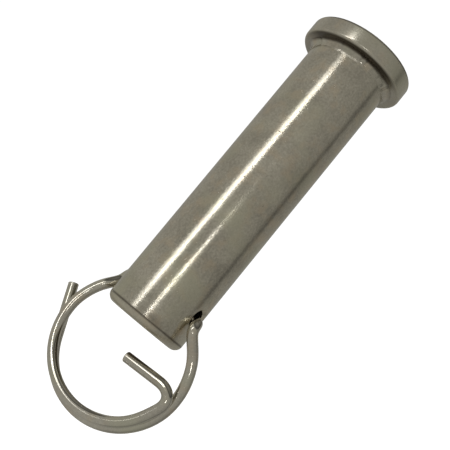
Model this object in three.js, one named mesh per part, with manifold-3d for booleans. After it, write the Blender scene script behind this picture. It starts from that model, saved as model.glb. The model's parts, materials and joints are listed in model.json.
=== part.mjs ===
// Stainless clevis pin with a cotter ring: a round shank with a welded disc head, and one spring wire
// wound into a ring that hangs through the cross hole near the tip.
// Millimetres, +Z up. The origin is the centre of the head's underside, on the shank's axis. The shank
// runs down -Z, the cross hole lies along X, and the ring hangs below the tip.
import * as THREE from "three";
import Module from "manifold-3d";

// Shank
const SHANK_DIAMETER = 16;
const GRIP_LENGTH = 60; // from the head's underside to the tip
const TIP_ROUNDING = 1.6;
const SHANK_SIDES = 96;

// Cross hole
const HOLE_DIAMETER = 3.4;
const HOLE_MOUTH_DIAMETER = 4.5; // where the 45 degree countersink meets the shank
const HOLE_FROM_TIP = 6.8;
const HOLE_SIDES = 32;
const CUTTER_OVERRUN = 1; // how far the hole's cutter stands out past the shank at each side

// Head
const HEAD_DIAMETER = 21;
const HEAD_THICKNESS = 3.6;
const HEAD_UNDER_ROUNDING = 0.65;
const HEAD_TOP_ROUNDING = 0.55;
const SEAT_INNER_DIAMETER = 18.6; // just outside the weld, where the underside's free flat ring starts

// Weld bead in the corner between shank and head
const WELD_REACH = 1.0; // out along the head's underside
const WELD_HEIGHT = 1.3; // down along the shank
const WELD_SWELL = 0.22; // how far the bead stands out from a straight bevel
const WELD_RIPPLES = [
  { waves: 5, size: 0.1, phase: 0.6 },
  { waves: 13, size: 0.07, phase: 2.1 },
  { waves: 29, size: 0.04, phase: 4.0 },
];

// Cotter ring, a coil of about one and a half turns
const WIRE_DIAMETER = 2;
const WIRE_SIDES = 16;
const WIRE_STEPS = 180;
const FIRST_TURN = { across: 0.64, below: 11.94, wide: 13.13, tall: 12.55 }; // half sizes of a slight oval
const SECOND_TURN = { across: 0.41, below: 12.43, wide: 13.39, tall: 12.83 };
const BORE_RUN = { halfLength: 7, below: 0.38, slant: 0.087 }; // the wire rests low in the cross hole
const TAIL_LENGTH = 10.5;
const RING_LEAN = 2.3; // degrees that the ring hangs forward
const RING_TWIST = 4.3; // degrees that the coil is turned from the hole's axis

const ROUNDING_STEPS = 6; // facets across each rounded edge
const BEAD_STEPS = 6; // facets across the weld bead's face

const shankRadius = SHANK_DIAMETER / 2;
const holeRadius = HOLE_DIAMETER / 2;
const holeHeight = HOLE_FROM_TIP - GRIP_LENGTH;
const rad = THREE.MathUtils.degToRad;

const wasm = await Module();
wasm.setup();

// ---- materials -------------------------------------------------------------------------------------

function steel(name, color, roughness) {
  const material = new THREE.MeshStandardMaterial({ color, roughness, metalness: 1 });
  material.name = name;
  return material;
}

const barSteel = steel("bar_steel", 0x9a958b, 0.32);
const headSteel = steel("head_steel", 0x9f9a90, 0.36);
const weldSteel = steel("weld_steel", 0x8b867c, 0.45);
const springSteel = steel("spring_steel", 0xa39f95, 0.28);

// ---- solids ----------------------------------------------------------------------------------------

// A quarter round in (radius, height) pairs about a centre, both ends included.
function quarterRound(centreRadius, centreHeight, rounding, fromDegrees) {
  return Array.from({ length: ROUNDING_STEPS + 1 }, (_, i) => {
    const angle = rad(fromDegrees + (90 * i) / ROUNDING_STEPS);
    return [centreRadius + rounding * Math.cos(angle), centreHeight + rounding * Math.sin(angle)];
  });
}

// A solid turned about Z from (radius, height) pairs that run upwards and start and end on the axis.
function turned(profile, sides) {
  const points = profile.map(([radius, height]) => new THREE.Vector2(radius, height));
  return new THREE.LatheGeometry(points, sides).rotateX(Math.PI / 2);
}

// A geometry's vertices merged by position, with its triangles as indices.
function weldedVertices(geometry) {
  const position = geometry.getAttribute("position");
  const count = geometry.index ? geometry.index.count : position.count;
  const places = new Map();
  const vertices = [];
  const corners = [];
  for (let i = 0; i < count; i++) {
    const v = geometry.index ? geometry.index.getX(i) : i;
    const xyz = [position.getX(v), position.getY(v), position.getZ(v)];
    const key = xyz.map((value) => Math.round(value * 1e4)).join();
    if (!places.has(key)) {
      places.set(key, vertices.length / 3);
      vertices.push(...xyz);
    }
    corners.push(places.get(key));
  }
  const triangles = [];
  for (let i = 0; i < corners.length; i += 3) {
    const [a, b, c] = corners.slice(i, i + 3);
    if (a !== b && b !== c && c !== a) triangles.push(a, b, c);
  }
  return { vertices, triangles };
}

function toManifold(geometry) {
  const { vertices, triangles } = weldedVertices(geometry);
  const mesh = new wasm.Mesh({
    numProp: 3,
    vertProperties: new Float32Array(vertices),
    triVerts: new Uint32Array(triangles),
  });
  return new wasm.Manifold(mesh);
}

function fromManifold(solid) {
  const mesh = solid.getMesh();
  const geometry = new THREE.BufferGeometry();
  geometry.setAttribute("position", new THREE.BufferAttribute(mesh.vertProperties, 3));
  geometry.setIndex(new THREE.BufferAttribute(mesh.triVerts, 1));
  geometry.computeVertexNormals();
  return geometry;
}

// ---- shank -----------------------------------------------------------------------------------------

// The tool that cuts the cross hole: a round bar along X with a cone at each mouth.
function holeCutter() {
  const boreLength = SHANK_DIAMETER + 2 * CUTTER_OVERRUN;
  const bore = new THREE.CylinderGeometry(holeRadius, holeRadius, boreLength, HOLE_SIDES);
  let cutter = toManifold(bore.rotateZ(Math.PI / 2));
  const narrowEnd = holeRadius / 2;
  const narrowPlace = shankRadius - (HOLE_MOUTH_DIAMETER / 2 - narrowEnd);
  const coneLength = shankRadius + CUTTER_OVERRUN - narrowPlace;
  const wideEnd = narrowEnd + coneLength;
  for (const side of [1, -1]) {
    const cone = new THREE.CylinderGeometry(wideEnd, narrowEnd, coneLength, HOLE_SIDES);
    cone.rotateZ((-side * Math.PI) / 2);
    cone.translate(side * (narrowPlace + coneLength / 2), 0, 0);
    cutter = cutter.add(toManifold(cone));
  }
  return cutter.translate([0, 0, holeHeight]);
}

function shankGeometry() {
  const profile = [
    [0, -GRIP_LENGTH],
    ...quarterRound(shankRadius - TIP_ROUNDING, TIP_ROUNDING - GRIP_LENGTH, TIP_ROUNDING, -90),
    [shankRadius, 0],
    [0, 0],
  ];
  return fromManifold(toManifold(turned(profile, SHANK_SIDES)).subtract(holeCutter()));
}

// ---- head ------------------------------------------------------------------------------------------

function headGeometry() {
  const radius = HEAD_DIAMETER / 2;
  const profile = [
    [0, 0],
    [SEAT_INNER_DIAMETER / 2, 0],
    ...quarterRound(radius - HEAD_UNDER_ROUNDING, HEAD_UNDER_ROUNDING, HEAD_UNDER_ROUNDING, -90),
    ...quarterRound(
      radius - HEAD_TOP_ROUNDING,
      HEAD_THICKNESS - HEAD_TOP_ROUNDING,
      HEAD_TOP_ROUNDING,
      0,
    ),
    [0, HEAD_THICKNESS],
  ];
  return turned(profile, SHANK_SIDES);
}

// ---- weld bead -------------------------------------------------------------------------------------

// The bead at one angle: its toe on the shank, its swollen face, then its edge under the head.
function beadSection(angle) {
  const ripple = WELD_RIPPLES.reduce(
    (sum, wave) => sum + wave.size * Math.sin(wave.waves * angle + wave.phase),
    0,
  );
  const reach = WELD_REACH * (1 + ripple);
  const height = WELD_HEIGHT * (1 + ripple);
  const face = Array.from({ length: BEAD_STEPS - 1 }, (_, i) => {
    const t = (i + 1) / BEAD_STEPS;
    const swell = WELD_SWELL * Math.sin(Math.PI * t);
    return [shankRadius + reach * t + swell, -height * (1 - t) - swell];
  });
  return [[shankRadius, -height], ...face, [shankRadius + reach, 0], [shankRadius, 0]];
}

// The bead's inner wall uses the shank's own facets, so the two fit face to face.
function weldGeometry() {
  const rows = beadSection(0).length;
  const vertices = [];
  const triangles = [];
  for (let k = 0; k < SHANK_SIDES; k++) {
    const angle = (2 * Math.PI * k) / SHANK_SIDES;
    for (const [radius, height] of beadSection(angle)) {
      vertices.push(radius * Math.sin(angle), -radius * Math.cos(angle), height);
    }
    const next = (k + 1) % SHANK_SIDES;
    for (let i = 0; i < rows; i++) {
      const j = (i + 1) % rows;
      triangles.push(k * rows + i, next * rows + i, next * rows + j);
      triangles.push(k * rows + i, next * rows + j, k * rows + j);
    }
  }
  const geometry = new THREE.BufferGeometry();
  geometry.setAttribute("position", new THREE.Float32BufferAttribute(vertices, 3));
  geometry.setIndex(triangles);
  geometry.computeVertexNormals();
  return geometry;
}

// ---- cotter ring -----------------------------------------------------------------------------------

// A place in the ring's own frame: across to the right, below the hole, and towards the front.
function at(across, below, front) {
  return new THREE.Vector3(across, -front, -below);
}

// Part of a turn about a centre, drifting steadily from one front offset to another.
// Angles run from the right, downwards and round.
class CoilArc extends THREE.Curve {
  constructor(turn, fromDegrees, toDegrees, fromFront, toFront) {
    super();
    Object.assign(this, { turn, fromDegrees, toDegrees, fromFront, toFront });
  }

  getPoint(t, target = new THREE.Vector3()) {
    const angle = rad(THREE.MathUtils.lerp(this.fromDegrees, this.toDegrees, t));
    const front = THREE.MathUtils.lerp(this.fromFront, this.toFront, t);
    const across = this.turn.across + this.turn.wide * Math.cos(angle);
    const below = this.turn.below + this.turn.tall * Math.sin(angle);
    return target.copy(at(across, below, front));
  }
}

// A smooth bend from one place and heading to another; reach sets how late it turns.
function bend(start, startHeading, end, endHeading, startReach, endReach = startReach) {
  const handleOut = start.clone().addScaledVector(startHeading.clone().normalize(), startReach);
  const handleIn = end.clone().addScaledVector(endHeading.clone().normalize(), -endReach);
  return new THREE.CubicBezierCurve3(start, handleOut, handleIn, end);
}

// The wire's centre line: hooked arm, first turn, through the cross hole, second turn, straight tail.
function wirePath() {
  const armEnd = at(2.65, 12.58, 1.88);
  const armBend = at(10.15, 12.11, 1.88);
  const armHeading = armBend.clone().sub(armEnd);
  const hook = at(13.07, 15.52, 1.75);
  const hookHeading = at(-0.4, 0.92, -0.02);
  const firstTurn = new CoilArc(FIRST_TURN, 60.5, 185, 1.65, 0.89);
  const firstTurnEnd = new CoilArc(FIRST_TURN, 185, 209, 0.89, 0.25);
  const leftCorner = at(-9.12, 2.2, -1.4);
  const leftHeading = at(0.15, -0.99, -0.12);
  const { halfLength, below, slant } = BORE_RUN;
  const boreIn = at(-halfLength, below, -halfLength * slant);
  const boreOut = at(halfLength, below, halfLength * slant);
  const boreHeading = at(1, 0, slant);
  const rightCorner = at(9.12, 1.78, 2.5);
  const rightHeading = at(0.24, 0.97, 0.14);
  const secondTurn = new CoilArc(SECOND_TURN, -27.2, 15, 0.74, -0.54);
  const secondTurnEnd = new CoilArc(SECOND_TURN, 15, 153.3, -0.54, -1.28);
  const tailStart = secondTurnEnd.getPoint(1);
  const tailHeading = secondTurnEnd.getTangent(1);
  const tailEnd = tailStart.clone().addScaledVector(tailHeading, TAIL_LENGTH);
  const first = firstTurn.getPoint(0);
  const last = firstTurnEnd.getPoint(1);
  const second = secondTurn.getPoint(0);

  const path = new THREE.CurvePath();
  path.add(new THREE.LineCurve3(armEnd, armBend));
  path.add(bend(armBend, armHeading, hook, hookHeading, 2.66, 1.98));
  path.add(bend(hook, hookHeading, first, firstTurn.getTangent(0), 3.41, 3.91));
  path.add(firstTurn);
  path.add(firstTurnEnd);
  path.add(bend(last, firstTurnEnd.getTangent(1), leftCorner, leftHeading, 1.63, 1.09));
  path.add(bend(leftCorner, leftHeading, boreIn, boreHeading, 1.23, 1.23));
  path.add(new THREE.LineCurve3(boreIn, boreOut));
  path.add(bend(boreOut, boreHeading, rightCorner, rightHeading, 1.75, 1.45));
  path.add(bend(rightCorner, rightHeading, second, secondTurn.getTangent(0), 1.22, 2.66));
  path.add(secondTurn);
  path.add(secondTurnEnd);
  path.add(new THREE.LineCurve3(tailStart, tailEnd));
  return path;
}

function ringGeometry() {
  const section = new THREE.Shape();
  section.absarc(0, 0, WIRE_DIAMETER / 2, 0, 2 * Math.PI, false);
  return new THREE.ExtrudeGeometry(section, {
    curveSegments: WIRE_SIDES / 2,
    steps: WIRE_STEPS,
    extrudePath: wirePath(),
  });
}

// ---- assembly --------------------------------------------------------------------------------------

function addPiece(parent, name, geometry, material) {
  const mesh = new THREE.Mesh(geometry, material);
  mesh.name = name;
  parent.add(mesh);
  return mesh;
}

const pin = new THREE.Group();
addPiece(pin, "shank", shankGeometry(), barSteel);
addPiece(pin, "head", headGeometry(), headSteel);
addPiece(pin, "neck_weld", weldGeometry(), weldSteel);

// The ring's group sits on the hole's axis, about which the ring swings.
const ringSwing = new THREE.Group();
ringSwing.position.set(0, 0, holeHeight);
ringSwing.rotation.set(rad(-RING_LEAN), 0, rad(RING_TWIST), "ZYX");
addPiece(ringSwing, "cotter_ring", ringGeometry(), springSteel);
pin.add(ringSwing);

export default pin;
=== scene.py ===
import json
import math

import bmesh
import bpy
from mathutils import Matrix, Vector, noise


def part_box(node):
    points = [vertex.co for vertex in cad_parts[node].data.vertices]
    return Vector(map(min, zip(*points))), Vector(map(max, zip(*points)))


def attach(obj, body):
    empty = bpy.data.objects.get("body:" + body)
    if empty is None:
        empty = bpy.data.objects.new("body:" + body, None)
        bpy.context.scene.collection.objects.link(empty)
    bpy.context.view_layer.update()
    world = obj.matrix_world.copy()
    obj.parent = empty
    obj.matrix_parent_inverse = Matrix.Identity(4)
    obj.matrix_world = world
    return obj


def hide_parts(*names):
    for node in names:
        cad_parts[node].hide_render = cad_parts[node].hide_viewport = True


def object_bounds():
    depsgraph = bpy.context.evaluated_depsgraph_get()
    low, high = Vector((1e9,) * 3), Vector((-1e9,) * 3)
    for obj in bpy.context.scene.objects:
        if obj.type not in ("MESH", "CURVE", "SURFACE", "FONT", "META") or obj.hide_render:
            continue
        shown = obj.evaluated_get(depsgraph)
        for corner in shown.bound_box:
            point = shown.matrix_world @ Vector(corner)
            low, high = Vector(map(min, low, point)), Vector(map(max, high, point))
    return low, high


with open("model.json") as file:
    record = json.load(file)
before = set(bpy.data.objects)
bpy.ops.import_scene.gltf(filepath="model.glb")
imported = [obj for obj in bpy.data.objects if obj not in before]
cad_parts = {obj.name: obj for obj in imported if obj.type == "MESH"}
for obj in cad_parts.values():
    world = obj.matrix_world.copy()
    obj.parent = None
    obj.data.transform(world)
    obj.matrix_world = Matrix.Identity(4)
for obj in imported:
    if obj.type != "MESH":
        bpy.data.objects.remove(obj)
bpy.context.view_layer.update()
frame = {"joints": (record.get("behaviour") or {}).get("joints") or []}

MM = 0.001

# ---- sizes -------------------------------------------------------------------------------------------

shank_low, shank_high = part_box("shank")
head_low, head_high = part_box("head")
SHANK_RADIUS = (shank_high.x - shank_low.x) / 2
GRIP = -shank_low.z  # from the head's underside to the tip
TIP_ROUNDING = 1.6 * MM
HEAD_RADIUS = (head_high.x - head_low.x) / 2
HEAD_THICKNESS = head_high.z
HEAD_UNDER_ROUNDING = 0.65 * MM
HEAD_TOP_ROUNDING = 0.55 * MM

HOLE_Z = frame["joints"][0]["pos_m"][2]  # the ring swings about the cross hole's axis
BORE_RADIUS = 1.7 * MM
MOUTH_RADIUS = 2.25 * MM

BEAD_REACH = 1.0 * MM  # out along the head's underside
BEAD_HEIGHT = 1.3 * MM  # down along the shank
BEAD_WAVES = ((5, 0.1, 0.6), (13, 0.05, 2.1), (29, 0.02, 4.0))  # waves round the bead, size, phase

WIRE_RADIUS = 1.0 * MM
WIRE_END_BREAK = 0.13 * MM  # the broken edge of each cut end
WIRE_SIDES = 32
WIRE_STEP = 0.12 * MM
RING_LEAN = math.radians(2.3)
RING_TWIST = math.radians(4.3)

# ---- mesh helpers ------------------------------------------------------------------------------------


def new_mesh_piece(name, vertices, faces, sharp_degrees=35):
    """A smooth-shaded mesh object, its doubled vertices merged and its faces turned outwards."""
    mesh = bpy.data.meshes.new(name)
    mesh.from_pydata(vertices, [], faces)
    bm = bmesh.new()
    bm.from_mesh(mesh)
    bmesh.ops.remove_doubles(bm, verts=bm.verts, dist=1e-3 * MM)
    bmesh.ops.recalc_face_normals(bm, faces=bm.faces)
    bm.to_mesh(mesh)
    bm.free()
    mesh.shade_smooth()
    mesh.set_sharp_from_angle(angle=math.radians(sharp_degrees))
    piece = bpy.data.objects.new(name, mesh)
    bpy.context.scene.collection.objects.link(piece)
    return piece


def finish_piece(piece, material, body, node):
    piece.data.materials.append(material)
    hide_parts(node)
    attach(piece, body)


def set_wear(piece, wear_at):
    """Stores how worn each vertex is, from 0 to 1, for the material to read."""
    store(piece, "wear", wear_at)


def set_painted_shade_and_darkening(piece, painted_shade_and_darkening_at):
    """Stores how darkened each vertex is, from 0 to 1: painted shade, painted dark reflections and the
    shank's darkened end face.
    """
    store(piece, "stain", painted_shade_and_darkening_at)


def store(piece, name, value_at):
    attribute = piece.data.attributes.new(name, "FLOAT", "POINT")
    for vertex in piece.data.vertices:
        attribute.data[vertex.index].value = min(max(value_at(vertex.co), 0.0), 1.0)


def strip(lower, upper, closed=True):
    """Quads between two rows of vertex indices of the same length."""
    count = len(lower)
    last = count if closed else count - 1
    return [(lower[i], lower[(i + 1) % count], upper[(i + 1) % count], upper[i]) for i in range(last)]


def fade(distance, width):
    return max(0.0, 1.0 - abs(distance) / width)


def quarter_round(centre_radius, centre_height, rounding, from_degrees, steps=10):
    angles = [math.radians(from_degrees + 90 * i / steps) for i in range(steps + 1)]
    return [(centre_radius + rounding * math.cos(a), centre_height + rounding * math.sin(a)) for a in angles]


def ease_between(start, end, steps):
    """Even steps from start to end, without the start."""
    return [start + (end - start) * (i + 1) / steps for i in range(steps)]


# ---- shank -------------------------------------------------------------------------------------------

PATCH_HALF = 4.0 * MM  # half the square of surface that is meshed round each hole mouth
PATCH_STEPS = 16
GAP_COLUMNS = 17
PATCH_RINGS = 7
PAINTED_REFLECTION_DIRECTION = math.radians(-55)  # a painted dark reflection just above the tip's rounding
PAINTED_REFLECTION_RISE = 0.5 * MM
PAINTED_REFLECTION_HEIGHT = 1.1 * MM
PAINTED_REFLECTION_LENGTH = 3.4 * MM


def on_cylinder(arc_length, height):
    angle = arc_length / SHANK_RADIUS
    return (SHANK_RADIUS * math.cos(angle), SHANK_RADIUS * math.sin(angle), height)


def mouth_radius_at(angle):
    """Where the 45 degree countersink meets the round shank, in one direction from the hole's axis."""
    cone_start = SHANK_RADIUS - (MOUTH_RADIUS - BORE_RADIUS)
    radius = MOUTH_RADIUS
    for _ in range(30):
        depth = math.sqrt(SHANK_RADIUS**2 - (radius * math.cos(angle)) ** 2)
        radius = BORE_RADIUS + depth - cone_start
    return radius


def half_shank():
    """The +X half of the shank: the side with its hole mouth, the rounded tip, both ends, half the bore."""
    vertices = []
    faces = []

    def add(point):
        vertices.append(point)
        return len(vertices) - 1

    patch_angle = PATCH_HALF / SHANK_RADIUS
    gap = (math.pi / 2 - patch_angle) / GAP_COLUMNS
    angles = [-math.pi / 2 + gap * i for i in range(GAP_COLUMNS)]
    angles += [patch_angle * (2 * i / PATCH_STEPS - 1) for i in range(PATCH_STEPS + 1)]
    angles += [patch_angle + gap * (i + 1) for i in range(GAP_COLUMNS)]
    patch_top = HOLE_Z + PATCH_HALF
    patch_bottom = HOLE_Z - PATCH_HALF
    heights = [0.0] + ease_between(0.0, patch_top, 28)
    first_patch_row = len(heights) - 1
    heights += ease_between(patch_top, patch_bottom, PATCH_STEPS)
    heights += ease_between(patch_bottom, TIP_ROUNDING - GRIP, 8)

    rows = [[add(on_cylinder(a * SHANK_RADIUS, z)) for a in angles] for z in heights]
    for r in range(len(rows) - 1):
        in_patch_rows = first_patch_row <= r < first_patch_row + PATCH_STEPS
        for c in range(len(angles) - 1):
            in_patch = in_patch_rows and GAP_COLUMNS <= c < GAP_COLUMNS + PATCH_STEPS
            if not in_patch:
                faces.append((rows[r][c], rows[r][c + 1], rows[r + 1][c + 1], rows[r + 1][c]))

    # the patch round the mouth, from its square border to the countersink's edge
    last = PATCH_STEPS
    border = [(first_patch_row, GAP_COLUMNS + i) for i in range(last)]
    border += [(first_patch_row + i, GAP_COLUMNS + last) for i in range(last)]
    border += [(first_patch_row + last, GAP_COLUMNS + last - i) for i in range(last)]
    border += [(first_patch_row + last - i, GAP_COLUMNS) for i in range(last)]
    ring = [rows[r][c] for r, c in border]
    square = [(angles[c] * SHANK_RADIUS, heights[r] - HOLE_Z) for r, c in border]
    directions = [math.atan2(z, arc) for arc, z in square]
    mouth = [mouth_radius_at(d) for d in directions]
    mouth_arc = [
        (SHANK_RADIUS * math.asin(m * math.cos(d) / SHANK_RADIUS), m * math.sin(d))
        for m, d in zip(mouth, directions)
    ]
    for k in range(1, PATCH_RINGS + 1):
        share = 1 - (1 - k / PATCH_RINGS) ** 1.6
        next_ring = [
            add(on_cylinder(s[0] + (m[0] - s[0]) * share, HOLE_Z + s[1] + (m[1] - s[1]) * share))
            for s, m in zip(square, mouth_arc)
        ]
        faces.extend(strip(ring, next_ring))
        ring = next_ring

    # the countersink and the bore
    cone_start = SHANK_RADIUS - (MOUTH_RADIUS - BORE_RADIUS)
    for share in (0.08, 0.5, 0.92, 1.0):
        next_ring = []
        for m, d in zip(mouth, directions):
            radius = m + (BORE_RADIUS - m) * share
            depth = cone_start + radius - BORE_RADIUS
            next_ring.append(add((depth, radius * math.cos(d), HOLE_Z + radius * math.sin(d))))
        faces.extend(strip(ring, next_ring))
        ring = next_ring
    for depth in ease_between(cone_start, 0.0, 8):
        next_ring = [
            add((depth, BORE_RADIUS * math.cos(d), HOLE_Z + BORE_RADIUS * math.sin(d))) for d in directions
        ]
        faces.extend(strip(ring, next_ring))
        ring = next_ring

    # the rounded tip and its face, then the face under the head
    flat_radius = SHANK_RADIUS - TIP_ROUNDING
    tip = quarter_round(flat_radius, TIP_ROUNDING - GRIP, TIP_ROUNDING, -90, steps=24)[::-1][1:]
    tip += [(radius, -GRIP) for radius in ease_between(flat_radius, 0.0, 5)[:-1]]
    row = rows[-1]
    for radius, height in tip:
        next_row = [add((radius * math.cos(a), radius * math.sin(a), height)) for a in angles]
        faces.extend(strip(row, next_row, closed=False))
        row = next_row
    tip_centre = add((0.0, 0.0, -GRIP))
    faces.extend((row[i], row[i + 1], tip_centre) for i in range(len(row) - 1))
    top_centre = add((0.0, 0.0, 0.0))
    faces.extend((rows[0][i + 1], rows[0][i], top_centre) for i in range(len(angles) - 1))
    return vertices, faces


def make_shank():
    vertices, faces = half_shank()
    count = len(vertices)
    vertices = vertices + [(-x, y, z) for x, y, z in vertices]
    faces = faces + [tuple(count + i for i in reversed(face)) for face in faces]
    shank = new_mesh_piece("shank_bar", vertices, faces)

    def wear(point):
        tip = fade(point.z - (0.45 * TIP_ROUNDING - GRIP), 1.1 * MM)
        from_axis = math.hypot(point.y, point.z - HOLE_Z)
        rim = fade(from_axis - MOUTH_RADIUS, 0.6 * MM)
        return max(tip, rim)

    def stain(point):
        above_edge = point.z - (TIP_ROUNDING - GRIP)
        # painted reflection: a thin dark line where the tip's rounding begins
        painted_reflection_line = 0.9 * fade(above_edge + 0.12 * MM, 0.3 * MM)
        radius = math.hypot(point.x, point.y)
        # the end face is darkened too
        end_face = 0.9 if point.z < 0.01 * MM - GRIP and radius < SHANK_RADIUS - 1.2 * TIP_ROUNDING else 0.0
        # painted reflection: a dark patch just above the tip's rounding
        along = (math.atan2(point.y, point.x) - PAINTED_REFLECTION_DIRECTION) * SHANK_RADIUS
        painted_reflection_patch = 0.45 * fade(above_edge - PAINTED_REFLECTION_RISE + 0.2 * along, PAINTED_REFLECTION_HEIGHT) * fade(along, PAINTED_REFLECTION_LENGTH)
        return max(painted_reflection_line, end_face, painted_reflection_patch)

    set_wear(shank, wear)
    set_painted_shade_and_darkening(shank, stain)
    return shank


# ---- head --------------------------------------------------------------------------------------------

HEAD_SIDES = 192
PAINTED_SHADE_EDGE = 10.4 * MM  # painted shade darkens the underside round the neck out to this radius
PAINTED_SHADE_FADE = 0.2 * MM
PAINTED_SHADE_MIDDLE = math.radians(-75)  # the direction in which the painted shade is darkest
PAINTED_SHADE_HALF = math.radians(88)  # and how far round it reaches to each side
PAINTED_SHADE_LEAST = 0.3


def painted_shade_at(point):
    """How strong the painted shade under the head is in one direction round the neck."""
    away = abs((math.atan2(point.y, point.x) - PAINTED_SHADE_MIDDLE + math.pi) % (2 * math.pi) - math.pi)
    return max(PAINTED_SHADE_LEAST, min(1.0, 2.2 * (1 - away / PAINTED_SHADE_HALF)))


def make_head():
    flat_radius = HEAD_RADIUS - HEAD_UNDER_ROUNDING
    profile = [(radius, 0.0) for radius in ease_between(0.0, flat_radius, 24)[:-1]]
    profile += quarter_round(flat_radius, HEAD_UNDER_ROUNDING, HEAD_UNDER_ROUNDING, -90)
    profile += quarter_round(
        HEAD_RADIUS - HEAD_TOP_ROUNDING, HEAD_THICKNESS - HEAD_TOP_ROUNDING, HEAD_TOP_ROUNDING, 0
    )
    top_radii = ease_between(HEAD_RADIUS - HEAD_TOP_ROUNDING, 0.0, 9)[:-1]
    profile += [(radius, HEAD_THICKNESS) for radius in top_radii]
    vertices = []
    rows = []
    for radius, height in profile:
        first = len(vertices)
        for k in range(HEAD_SIDES):
            angle = 2 * math.pi * k / HEAD_SIDES
            vertices.append((radius * math.cos(angle), radius * math.sin(angle), height))
        rows.append(list(range(first, first + HEAD_SIDES)))
    faces = []
    for lower, upper in zip(rows, rows[1:]):
        faces.extend(strip(lower, upper))
    for row, height in ((rows[0], 0.0), (rows[-1], HEAD_THICKNESS)):
        centre = len(vertices)
        vertices.append((0.0, 0.0, height))
        faces.extend((row[(i + 1) % HEAD_SIDES], row[i], centre) for i in range(HEAD_SIDES))
    head = new_mesh_piece("head_disc", vertices, faces)

    def wear(point):
        radius = math.hypot(point.x, point.y)
        lower = fade(math.hypot(radius - HEAD_RADIUS, point.z), 0.8 * MM)
        upper = fade(math.hypot(radius - HEAD_RADIUS, point.z - HEAD_THICKNESS), 0.8 * MM)
        return max(lower, upper)

    # painted shade on the head's underside round the neck
    def stain(point):
        radius = math.hypot(point.x, point.y)
        on_underside = fade(point.z, 0.4 * MM)
        return painted_shade_at(point) * on_underside * min((PAINTED_SHADE_EDGE - radius) / PAINTED_SHADE_FADE, 1.0)

    set_wear(head, wear)
    set_painted_shade_and_darkening(head, stain)
    return head


# ---- weld bead ---------------------------------------------------------------------------------------

BEAD_SIDES = 480
BEAD_STEPS = 16
BEAD_ROOT = 0.05 * MM  # how far the bead's hidden inner wall lies inside the shank
BEAD_FACE_GRAIN = 0.05 * MM  # how far the bead's face stands out in small lumps
BEAD_FACE_FINENESS = 20.0
BEAD_GRAIN = 0.04  # fine unevenness, as a share of the bead's own size
BEAD_PAINTED_SHADE_HEIGHT = 0.36 * MM
BEAD_TOE_HANDLE = (0.03, 0.34)  # shares of reach and height: the fillet leaves the shank almost along it
BEAD_CREASES = (  # direction in degrees from the front, half width in degrees, depth in shares of the size
    (-34.0, 1.6, 0.2),
    (2.0, 1.2, 0.16),
    (31.0, 2.0, 0.26),
    (38.0, 1.1, 0.2),
    (81.0, 2.6, 0.34),
    (137.0, 2.0, 0.24),
    (-174.0, 2.4, 0.3),
    (-119.0, 1.8, 0.26),
)


def bead_ripple(angle):
    ripple = sum(size * math.sin(waves * angle + phase) for waves, size, phase in BEAD_WAVES)
    degrees = math.degrees(angle)
    for place, width, depth in BEAD_CREASES:
        away = (degrees - place + 180) % 360 - 180
        ripple -= depth * math.exp(-((away / width) ** 2))
    return ripple


def bead_section(angle, outward):
    """The bead's outline at one direction, as (radius, height) pairs: hidden wall, toe, face, outer edge."""
    size = 1 + bead_ripple(angle) + BEAD_GRAIN * noise.noise(outward * 21.0)
    reach, height = BEAD_REACH * size, BEAD_HEIGHT * size
    handle_reach, handle_height = BEAD_TOE_HANDLE
    section = [(SHANK_RADIUS - BEAD_ROOT, -height)]
    for i in range(BEAD_STEPS + 1):
        t = i / BEAD_STEPS
        place = outward * BEAD_FACE_FINENESS + Vector((0.0, 0.0, 4.0 * t))
        grain = BEAD_FACE_GRAIN * abs(noise.noise(place)) * math.sin(math.pi * t)
        out = 2 * t * (1 - t) * handle_reach * reach + t * t * reach
        down = (1 - t) ** 2 * height + 2 * t * (1 - t) * handle_height * height
        section.append((SHANK_RADIUS + out + grain, -down))
    section.append((SHANK_RADIUS - BEAD_ROOT, 0.0))
    return section


def make_weld():
    vertices = []
    rows = []
    for k in range(BEAD_SIDES):
        angle = 2 * math.pi * k / BEAD_SIDES
        outward = Vector((math.sin(angle), -math.cos(angle), 0.0))  # counted from the -Y side
        section = bead_section(angle, outward)
        first = len(vertices)
        vertices.extend((radius * outward.x, radius * outward.y, height) for radius, height in section)
        rows.append(list(range(first, first + len(section))))
    faces = []
    for k in range(BEAD_SIDES):
        faces.extend(strip(rows[k], rows[(k + 1) % BEAD_SIDES]))
    weld = new_mesh_piece("weld_bead", vertices, faces, sharp_degrees=70)
    set_wear(weld, lambda point: fade(point.z + BEAD_HEIGHT, 0.35 * MM))
    # painted shade in the corner where the bead meets the head's underside
    set_painted_shade_and_darkening(weld, lambda point: painted_shade_at(point) * 1.5 * (1 - abs(point.z) / BEAD_PAINTED_SHADE_HEIGHT))
    return weld


# ---- cotter ring -------------------------------------------------------------------------------------


def at(across, below, front):
    """A place in the ring's own frame, in millimetres: across to the right, below the hole, to the front."""
    return Vector((across, -front, -below))


def oval_point(turn, degrees, front):
    angle = math.radians(degrees)
    across = turn["across"] + turn["wide"] * math.cos(angle)
    below = turn["below"] + turn["tall"] * math.sin(angle)
    return at(across, below, front)


def oval_arc(turn, from_degrees, to_degrees, from_front, to_front):
    """A function of 0 to 1 along part of a turn that drifts steadily from one front offset to another."""

    def point(t):
        degrees = from_degrees + (to_degrees - from_degrees) * t
        return oval_point(turn, degrees, from_front + (to_front - from_front) * t)

    return point


def straight(start, end):
    return lambda t: start.lerp(end, t)


def bend(start, start_heading, end, end_heading, start_reach, end_reach):
    """A smooth bend from one place and heading to another; reach sets how late it turns."""
    handle_out = start + start_heading.normalized() * start_reach
    handle_in = end - end_heading.normalized() * end_reach

    def point(t):
        s = 1 - t
        return start * s**3 + handle_out * (3 * s * s * t) + handle_in * (3 * s * t * t) + end * t**3

    return point


def heading(curve, t):
    small = 1e-4
    return (curve(min(t + small, 1.0)) - curve(max(t - small, 0.0))).normalized()


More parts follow.
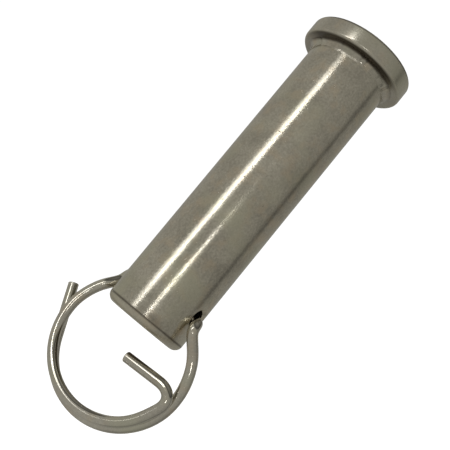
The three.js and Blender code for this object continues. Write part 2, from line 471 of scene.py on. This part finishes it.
def wire_curves():
    """The wire's centre line: hooked arm, first turn, cross hole, second turn, straight tail."""
    first_oval = {"across": 0.64, "below": 11.94, "wide": 13.13, "tall": 12.55}
    second_oval = {"across": 0.41, "below": 12.43, "wide": 13.39, "tall": 12.83}
    half_bore, bore_below, bore_slant = 7.0, 0.38, 0.087
    tail_length = 10.5

    arm_end = at(2.65, 12.58, 1.88)
    arm_bend = at(10.15, 12.11, 1.88)
    hook = at(13.07, 15.52, 1.75)
    hook_heading = at(-0.4, 0.92, -0.02)
    first_turn = oval_arc(first_oval, 60.5, 185, 1.65, 0.89)
    first_turn_end = oval_arc(first_oval, 185, 209, 0.89, 0.25)
    left_corner = at(-9.12, 2.2, -1.4)
    left_heading = at(0.15, -0.99, -0.12)
    bore_in = at(-half_bore, bore_below, -half_bore * bore_slant)
    bore_out = at(half_bore, bore_below, half_bore * bore_slant)
    bore_heading = at(1, 0, bore_slant)
    right_corner = at(9.12, 1.78, 2.5)
    right_heading = at(0.24, 0.97, 0.14)
    second_turn = oval_arc(second_oval, -27.2, 15, 0.74, -0.54)
    second_turn_end = oval_arc(second_oval, 15, 153.3, -0.54, -1.28)
    tail_start = second_turn_end(1)
    tail_end = tail_start + heading(second_turn_end, 1) * tail_length

    to_hook = bend(arm_bend, arm_bend - arm_end, hook, hook_heading, 2.66, 1.98)
    from_hook = bend(hook, hook_heading, first_turn(0), heading(first_turn, 0), 3.41, 3.91)
    last_heading = heading(first_turn_end, 1)
    to_left = bend(first_turn_end(1), last_heading, left_corner, left_heading, 1.63, 1.09)
    into_bore = bend(left_corner, left_heading, bore_in, bore_heading, 1.23, 1.23)
    out_of_bore = bend(bore_out, bore_heading, right_corner, right_heading, 1.75, 1.45)
    second_heading = heading(second_turn, 0)
    from_right = bend(right_corner, right_heading, second_turn(0), second_heading, 1.22, 2.66)
    return [
        straight(arm_end, arm_bend),
        to_hook,
        from_hook,
        first_turn,
        first_turn_end,
        to_left,
        into_bore,
        straight(bore_in, bore_out),
        out_of_bore,
        from_right,
        second_turn,
        second_turn_end,
        straight(tail_start, tail_end),
    ]


def even_points(curves, step):
    """Points a constant step apart along joined curves."""
    fine = [curves[0](0)]
    for curve in curves:
        fine.extend(curve(i / 200) for i in range(1, 201))
    lengths = [0.0]
    for a, b in zip(fine, fine[1:]):
        lengths.append(lengths[-1] + (b - a).length)
    count = round(lengths[-1] / step)
    points = []
    k = 0
    for i in range(count + 1):
        target = lengths[-1] * i / count
        while k < len(fine) - 2 and lengths[k + 1] < target:
            k += 1
        share = (target - lengths[k]) / max(lengths[k + 1] - lengths[k], 1e-12)
        points.append(fine[k].lerp(fine[k + 1], min(share, 1.0)))
    return points


def relaxed(points, passes):
    """Points with the small corners at the joins of the curves smoothed away; both ends stay."""
    for _ in range(passes):
        middle = [(a + b * 2 + c) / 4 for a, b, c in zip(points, points[1:], points[2:])]
        points = [points[0]] + middle + [points[-1]]
    return points


def make_ring():
    place = Matrix.Translation((0, 0, HOLE_Z))
    place @= Matrix.Rotation(RING_TWIST, 4, "Z") @ Matrix.Rotation(-RING_LEAN, 4, "X")
    points = relaxed(even_points(wire_curves(), WIRE_STEP / MM), 24)
    points = [place @ (p * MM) for p in points]
    neighbours = zip([points[0]] + points, points[1:] + [points[-1]])
    headings = [(after - before).normalized() for before, after in neighbours]

    # stations: place, heading, radius; the broken edges of both cut ends come first and last
    break_angles = [math.radians(degrees) for degrees in (0, 18, 36, 54, 72, 90)]
    breaks = [(1 - math.sin(angle), 1 - math.cos(angle)) for angle in break_angles]
    stations = []
    for outward, inward in breaks:
        along = headings[0] * (WIRE_END_BREAK * inward)
        stations.append((points[0] + along, headings[0], WIRE_RADIUS - WIRE_END_BREAK * outward))
    stations += [(point, direction, WIRE_RADIUS) for point, direction in zip(points[2:-2], headings[2:-2])]
    for outward, inward in reversed(breaks):
        along = headings[-1] * (WIRE_END_BREAK * inward)
        stations.append((points[-1] - along, headings[-1], WIRE_RADIUS - WIRE_END_BREAK * outward))

    side = headings[0].orthogonal().normalized()
    before = headings[0]
    vertices = []
    rows = []
    for point, direction, radius in stations:
        side = before.rotation_difference(direction) @ side
        side = (side - direction * side.dot(direction)).normalized()
        other = direction.cross(side)
        before = direction
        first = len(vertices)
        for k in range(WIRE_SIDES):
            angle = 2 * math.pi * k / WIRE_SIDES
            vertices.append(point + (side * math.cos(angle) + other * math.sin(angle)) * radius)
        rows.append(list(range(first, first + WIRE_SIDES)))
    faces = []
    for lower, upper in zip(rows, rows[1:]):
        faces.extend(strip(lower, upper))
    for row, inner, turned in ((rows[0], stations[0], True), (rows[-1], stations[-1], False)):
        point, direction, radius = inner
        ring = row
        for share in (0.66, 0.33):
            next_ring = []
            for index in row:
                vertices.append(point + (Vector(vertices[index]) - point) * share)
                next_ring.append(len(vertices) - 1)
            faces.extend(strip(next_ring, ring) if turned else strip(ring, next_ring))
            ring = next_ring
        vertices.append(point)
        centre = len(vertices) - 1
        faces.extend((ring[i], ring[(i + 1) % WIRE_SIDES], centre) for i in range(WIRE_SIDES))
    ring_piece = new_mesh_piece("ring_wire", vertices, faces)
    ends = (stations[0][0], stations[-1][0])
    set_wear(ring_piece, lambda p: max(fade((p - end).length - WIRE_RADIUS, 0.25 * MM) for end in ends))
    return ring_piece


# ---- materials ---------------------------------------------------------------------------------------


class Nodes:
    """A node tree, with short calls to add and join nodes."""

    def __init__(self, tree):
        self.tree = tree

    def add(self, kind, **settings):
        node = self.tree.nodes.new(kind)
        for key, value in settings.items():
            setattr(node, key, value)
        return node

    def link(self, output, socket):
        self.tree.links.new(output, socket)

    def place(self, stretch=(1, 1, 1)):
        coordinates = self.add("ShaderNodeTexCoord").outputs["Object"]
        mapping = self.add("ShaderNodeMapping")
        mapping.inputs["Scale"].default_value = stretch
        self.link(coordinates, mapping.inputs["Vector"])
        return mapping.outputs["Vector"]

    def noise(self, scale, detail=4, roughness=0.55, stretch=(1, 1, 1)):
        node = self.add("ShaderNodeTexNoise")
        node.inputs["Scale"].default_value = scale
        node.inputs["Detail"].default_value = detail
        node.inputs["Roughness"].default_value = roughness
        self.link(self.place(stretch), node.inputs["Vector"])
        return node.outputs["Fac"]

    def map(self, value, low, high, to_low, to_high):
        node = self.add("ShaderNodeMapRange", clamp=True)
        sockets = ("From Min", "From Max", "To Min", "To Max")
        for socket, number in zip(sockets, (low, high, to_low, to_high)):
            node.inputs[socket].default_value = number
        self.link(value, node.inputs["Value"])
        return node.outputs["Result"]

    def math(self, operation, a, b):
        node = self.add("ShaderNodeMath", operation=operation)
        for socket, value in zip(node.inputs, (a, b)):
            if isinstance(value, (int, float)):
                socket.default_value = value
            else:
                self.link(value, socket)
        return node.outputs[0]

    def ramp(self, value, stops):
        node = self.add("ShaderNodeValToRGB")
        elements = node.color_ramp.elements
        while len(elements) < len(stops):
            elements.new(0.5)
        for element, (place, colour) in zip(elements, stops):
            element.position = place
            element.color = (*colour, 1)
        self.link(value, node.inputs["Fac"])
        return node.outputs["Color"]

    def mix(self, share, a, b, blend="MIX"):
        node = self.add("ShaderNodeMix", data_type="RGBA", blend_type=blend)
        for socket, value in ((node.inputs[0], share), (node.inputs[6], a), (node.inputs[7], b)):
            if isinstance(value, (int, float)):
                socket.default_value = value
            elif isinstance(value, tuple):
                socket.default_value = (*value, 1)
            else:
                self.link(value, socket)
        return node.outputs[2]

    def attribute(self, name):
        return self.add("ShaderNodeAttribute", attribute_name=name).outputs["Fac"]

    def bump(self, height, distance, strength, normal=None):
        node = self.add("ShaderNodeBump")
        node.inputs["Strength"].default_value = strength
        node.inputs["Distance"].default_value = distance
        self.link(height, node.inputs["Height"])
        if normal is not None:
            self.link(normal, node.inputs["Normal"])
        return node.outputs["Normal"]


# the colour of the stored darkening, mostly painted shade and painted dark reflections
PAINTED_SHADE_AND_DARKENING_COLOUR = (0.05, 0.036, 0.024)
PAINTED_SHADE_AND_DARKENING_DEPTH = 0.92


def steel(name, dark, light, rough_low, rough_high, grain=(1, 1, 1), grain_depth=0.5, pits=0.5, wobble=0.4):
    """Worn stainless steel: cloudy colour, fine mottling, fine marks, small pits, bright worn edges and the
    stored darkening, mostly painted shade.
    """
    material = bpy.data.materials.new(name)
    material.use_nodes = True
    n = Nodes(material.node_tree)
    shader = material.node_tree.nodes["Principled BSDF"]
    clouds = n.noise(170, 3, 0.6)
    mottle = n.noise(2400, 4, 0.7)
    marks = n.noise(2600, 3, 0.7, stretch=grain)
    specks = n.noise(2300, 2, 0.5)
    patches = n.noise(420, 2, 0.5)
    tarnish = n.noise(120, 2, 0.5)
    wear = n.attribute("wear")

    tone = n.math("ADD", n.math("MULTIPLY", clouds, 0.45), n.math("MULTIPLY", mottle, 0.55))
    colour = n.ramp(tone, ((0.38, dark), (0.62, light)))
    olive = tuple(c * share for c, share in zip(light, (0.9, 0.93, 0.84)))
    brown = tuple(c * share for c, share in zip(light, (0.98, 0.88, 0.78)))
    colour = n.mix(n.map(patches, 0.5, 0.68, 0, 0.5), colour, brown)
    colour = n.mix(n.map(tarnish, 0.48, 0.66, 0, 0.6), colour, olive)
    pit_mask = n.math("MULTIPLY", n.map(specks, 0.68, 0.76, 0, 1), n.map(patches, 0.46, 0.6, 0, 1))
    colour = n.mix(n.math("MULTIPLY", pit_mask, pits), colour, tuple(c * 0.35 for c in dark))
    colour = n.mix(n.math("MULTIPLY", wear, 0.35), colour, tuple(min(c * 1.18, 0.9) for c in light))
    # mixes in the stored darkening: painted shade and painted dark reflections
    colour = n.mix(n.math("MULTIPLY", n.attribute("stain"), PAINTED_SHADE_AND_DARKENING_DEPTH), colour, PAINTED_SHADE_AND_DARKENING_COLOUR)
    n.link(colour, shader.inputs["Base Color"])
    shader.inputs["Metallic"].default_value = 1.0

    unevenness = n.math("ADD", n.math("MULTIPLY", marks, 0.6), n.math("MULTIPLY", clouds, 0.4))
    rough = n.map(unevenness, 0.35, 0.65, rough_low, rough_high)
    rough = n.math("ADD", rough, n.math("MULTIPLY", n.math("MAXIMUM", pit_mask, wear), 0.25))
    n.link(rough, shader.inputs["Roughness"])

    normal = n.bump(n.noise(260, 2, 0.5), 0.06 * MM, wobble)
    normal = n.bump(mottle, 0.012 * MM, grain_depth, normal)
    normal = n.bump(marks, 0.006 * MM, grain_depth, normal)
    normal = n.bump(n.math("SUBTRACT", 1.0, pit_mask), 0.03 * MM, pits, normal)
    n.link(normal, shader.inputs["Normal"])
    return material


# ---- stage: floor, surroundings, lights, camera ---------------------------------------------------------

# A plain grey room. Its walls' brightness by compass direction in degrees: even, a little dimmer on the far
# side from the key light, with one dark corner.
WALLS_ROUND = ((-180, 0.35), (-60, 0.35), (20, 0.25), (30, 0.1), (40, 0.25), (180, 0.35))
# How dark the ceiling is by the direction's rise, from -1 straight down to 1 straight up.
CEILING_UP = ((0.55, 0.0), (0.65, 0.8), (1.0, 0.3))
WALL_WARMTH = (1, 0.98, 0.9)
BACKGROUND_BRIGHTNESS = 1.05
LIGHT_DISTANCE = 0.5  # from the pin's axis to each strip light
KEY_TOP = 0.2
KEY_BOTTOM = -0.054
SECOND_TOP = 0.02
SECOND_BOTTOM = -0.055
LENS = 61.87  # focal length in millimetres on a 36 mm sensor
CAMERA_SHIFT = 0.122
CAMERA_PLACE = Vector((64.4, -121.12, -57.96)) * MM
CAMERA_FORWARD = Vector((-0.5127, 0.8518, 0.1076))
CAMERA_RIGHT = Vector((0.6944, 0.3377, 0.6354))
FLOOR_DROP = 30 * MM  # the floor lies this far under the hanging ring


def levels(n, value, stops, low, high):
    """A grey that follows stops of (place between low and high, level)."""
    return n.ramp(value, [((place - low) / (high - low), (level, level, level)) for place, level in stops])


def make_room():
    """White to the camera; to the steel, a plain grey room with a dark ceiling."""
    world = bpy.data.worlds.new("room")
    bpy.context.scene.world = world
    world.use_nodes = True
    world.node_tree.nodes.clear()
    n = Nodes(world.node_tree)
    direction = n.add("ShaderNodeSeparateXYZ")
    n.link(n.add("ShaderNodeTexCoord").outputs["Generated"], direction.inputs[0])
    compass = n.math("ARCTAN2", direction.outputs["Y"], direction.outputs["X"])
    around = n.map(compass, -math.pi, math.pi, 0, 1)
    rise = n.map(direction.outputs["Z"], -1, 1, 0, 1)
    walls = levels(n, around, WALLS_ROUND, -180, 180)
    ceiling = levels(n, rise, CEILING_UP, -1, 1)
    seen = n.math("MULTIPLY", walls, n.math("SUBTRACT", 1.0, ceiling))
    room = n.add("ShaderNodeBackground")
    n.link(n.mix(1.0, seen, WALL_WARMTH, blend="MULTIPLY"), room.inputs["Color"])
    white = n.add("ShaderNodeBackground")
    white.inputs["Color"].default_value = (1, 1, 1, 1)
    white.inputs["Strength"].default_value = BACKGROUND_BRIGHTNESS
    chosen = n.add("ShaderNodeMixShader")
    n.link(n.add("ShaderNodeLightPath").outputs["Is Camera Ray"], chosen.inputs["Fac"])
    n.link(room.outputs[0], chosen.inputs[1])
    n.link(white.outputs[0], chosen.inputs[2])
    n.link(chosen.outputs[0], n.add("ShaderNodeOutputWorld").inputs["Surface"])


def make_floor():
    """A pale backlit table under the hanging ring."""
    half = 4.0
    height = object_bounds()[0][2] - FLOOR_DROP
    mesh = bpy.data.meshes.new("floor")
    corners = [(-half, -half, height), (half, -half, height), (half, half, height), (-half, half, height)]
    mesh.from_pydata(corners, [], [(0, 1, 2, 3)])
    floor = bpy.data.objects.new("floor", mesh)
    bpy.context.scene.collection.objects.link(floor)
    material = bpy.data.materials.new("pale_floor")
    material.use_nodes = True
    shader = material.node_tree.nodes["Principled BSDF"]
    shader.inputs["Base Color"].default_value = (0.9, 0.9, 0.9, 1)
    shader.inputs["Roughness"].default_value = 0.8
    shader.inputs["Emission Color"].default_value = (1, 1, 1, 1)
    shader.inputs["Emission Strength"].default_value = 1.0
    mesh.materials.append(material)
    floor.visible_glossy = False
    floor.visible_diffuse = False
    floor.visible_shadow = False


def aimed(position, along, target):
    """A matrix whose Y lies along a direction and whose Z points away from the target."""
    y = along.normalized()
    z = position - target
    z = (z - y * z.dot(y)).normalized()
    x = y.cross(z)
    matrix = Matrix((x, y, z)).transposed().to_4x4()
    matrix.translation = position
    return matrix


def strip_light(name, top, bottom, width, brightness, target):
    """A flat strip light between two points; brightness is its radiance."""
    data = bpy.data.lights.new(name, "AREA")
    data.shape = "RECTANGLE"
    data.size = width
    data.size_y = (top - bottom).length
    data.energy = brightness * math.pi * data.size * data.size_y
    light = bpy.data.objects.new(name, data)
    light.matrix_world = aimed((top + bottom) / 2, top - bottom, target)
    light.visible_camera = False
    bpy.context.scene.collection.objects.link(light)


def around_pin(degrees, height):
    angle = math.radians(degrees)
    return Vector((LIGHT_DISTANCE * math.cos(angle), LIGHT_DISTANCE * math.sin(angle), height))


def make_lights():
    """Each strip leans: its top and its bottom are at different directions round the pin."""
    aim = Vector((0, 0, -GRIP / 2))
    strip_light("key_strip", around_pin(-95, KEY_TOP), around_pin(-105, KEY_BOTTOM), 0.015, 6.5, aim)
    strip_light("key_glow", around_pin(-100, KEY_TOP), around_pin(-110, KEY_BOTTOM), 0.08, 1.6, aim)
    second_top, second_bottom = around_pin(-64, SECOND_TOP), around_pin(-69, SECOND_BOTTOM)
    strip_light("second_strip", second_top, second_bottom, 0.022, 7.0, aim)


def make_camera():
    data = bpy.data.cameras.new("camera")
    data.sensor_width = 36.0
    data.lens = LENS
    data.shift_x = CAMERA_SHIFT
    data.clip_start = 0.01
    data.clip_end = 50
    camera = bpy.data.objects.new("camera", data)
    forward = CAMERA_FORWARD.normalized()
    right = (CAMERA_RIGHT - forward * CAMERA_RIGHT.dot(forward)).normalized()
    up = right.cross(forward)
    matrix = Matrix((right, up, -forward)).transposed().to_4x4()
    matrix.translation = CAMERA_PLACE
    camera.matrix_world = matrix
    bpy.context.scene.collection.objects.link(camera)
    bpy.context.scene.camera = camera


# ---- build -------------------------------------------------------------------------------------------

bpy.context.scene.view_settings.view_transform = "Standard"
make_camera()
make_room()
make_lights()

lengthwise = (1, 1, 0.12)
bar = steel(
    "bar_steel_look", (0.47, 0.44, 0.37), (0.72, 0.68, 0.575), 0.13, 0.21, grain=lengthwise, grain_depth=0.8
)
disc = steel("head_steel_look", (0.5, 0.47, 0.4), (0.7, 0.665, 0.57), 0.13, 0.2, grain_depth=0.3)
weld_metal = steel(
    "weld_steel_look", (0.46, 0.43, 0.37), (0.7, 0.665, 0.57), 0.14, 0.24, pits=0.4, wobble=0.5
)
spring = steel(
    "spring_steel_look", (0.58, 0.55, 0.485), (0.76, 0.73, 0.645), 0.07, 0.13, pits=0.3, wobble=0.2
)

finish_piece(make_shank(), bar, "pin", "shank")
finish_piece(make_head(), disc, "pin", "head")
finish_piece(make_weld(), weld_metal, "pin", "neck_weld")
finish_piece(make_ring(), spring, "ring", "cotter_ring")
make_floor()
